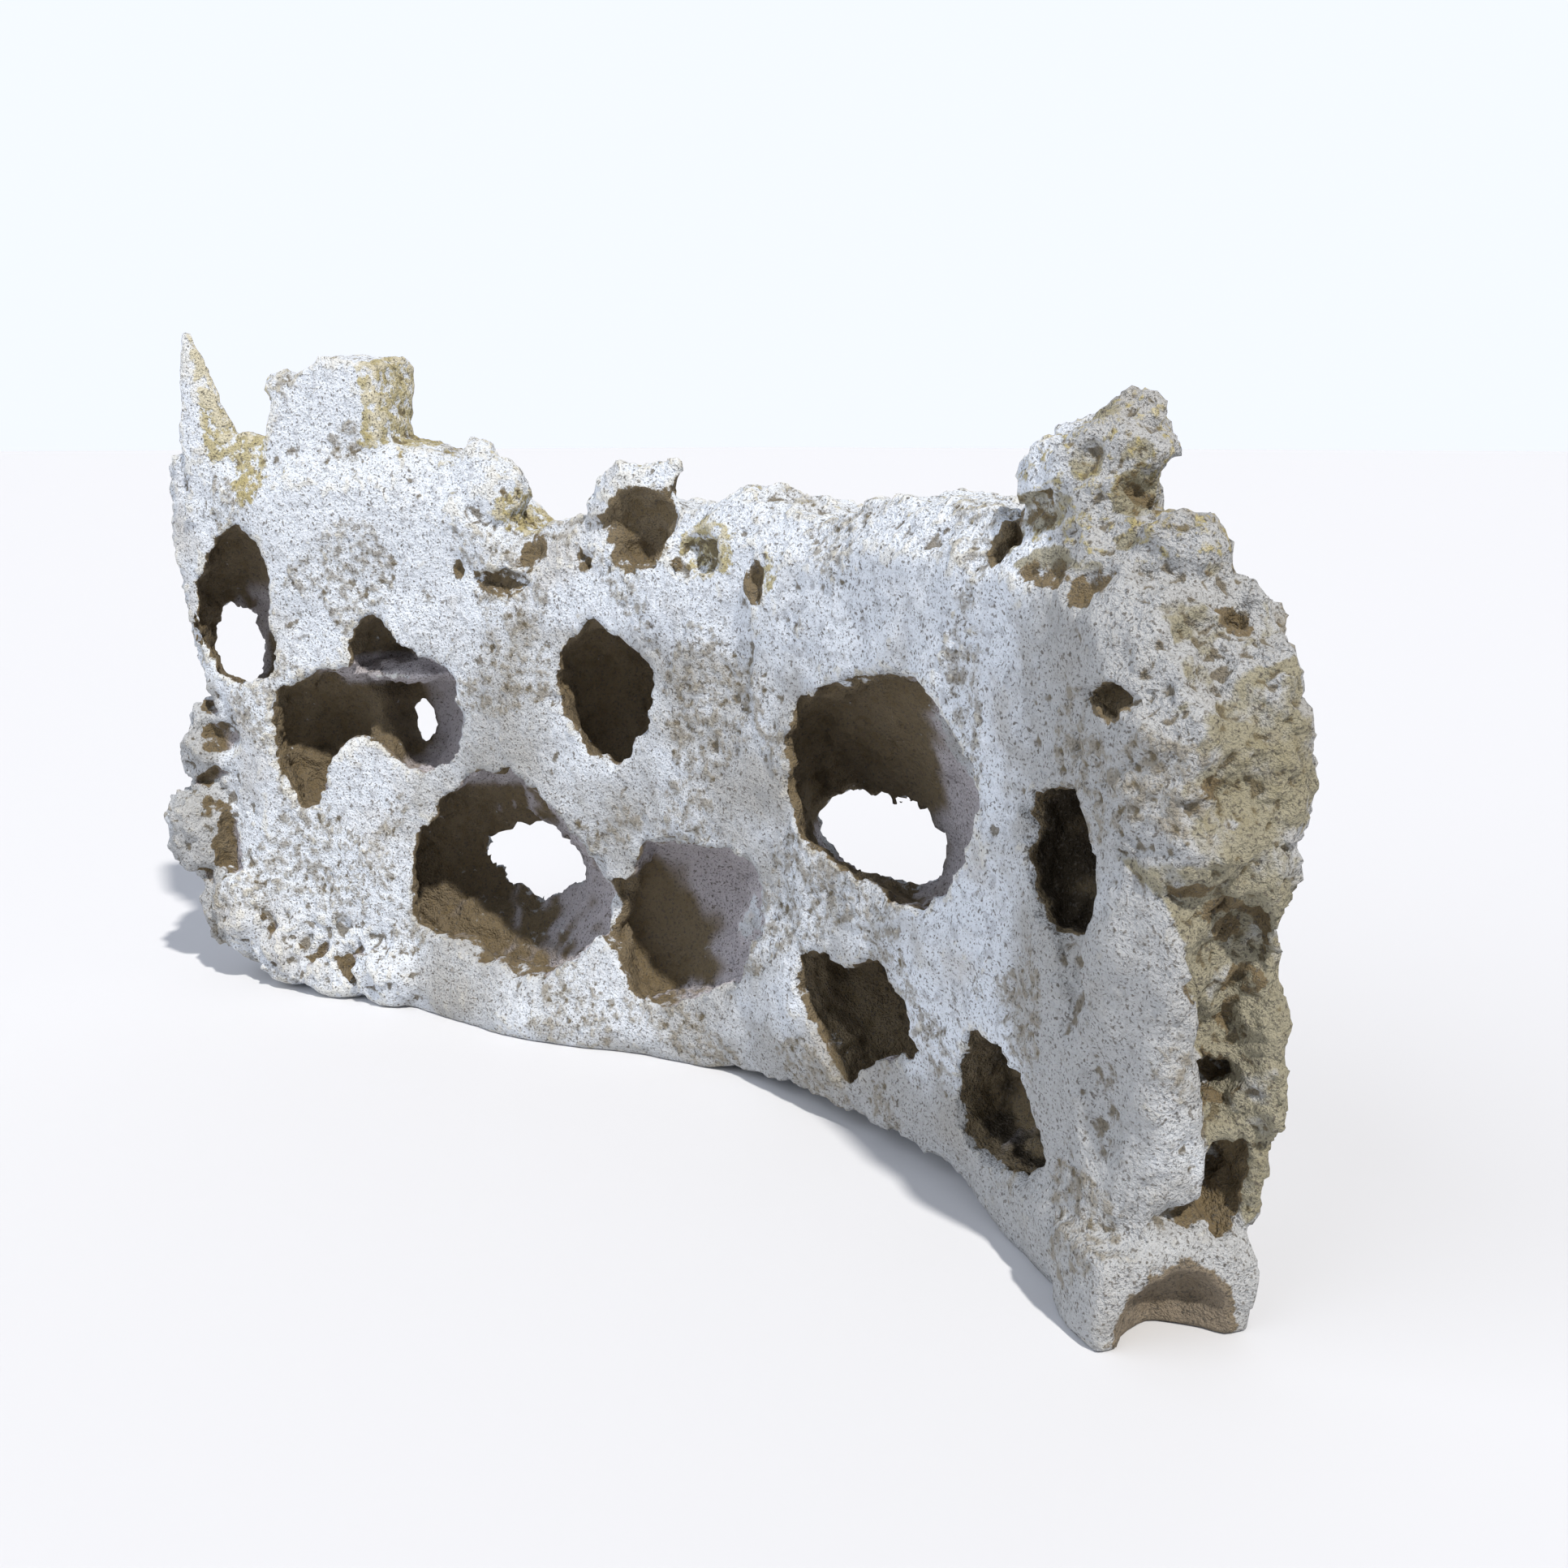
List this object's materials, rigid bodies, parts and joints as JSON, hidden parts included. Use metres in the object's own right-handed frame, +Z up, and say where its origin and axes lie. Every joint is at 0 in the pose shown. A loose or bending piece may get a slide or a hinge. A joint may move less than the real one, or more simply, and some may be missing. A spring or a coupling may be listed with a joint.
{
  "type": "holey limestone",
  "caption": "Bent upright slab of porous weathered limestone, pierced by rounded solution holes, with broken points on its top edge; a free-standing aquascape or garden stone.",
  "frame": {"origin": "centre of the bounding box's base, on the ground that the stone stands on", "axes": "+X along the slab from its thin end to its thick end, +Y from the hollow front face towards the back, +Z up"},
  "size_m": [0.5304, 0.1586, 0.284],
  "materials": {
    "limestone": "matt, porous, chalky white weathered surface with tan broken faces and brown hollows"
  },
  "bodies": {
    "root": {"limestone": "limestone"}
  },
  "joints": []
}
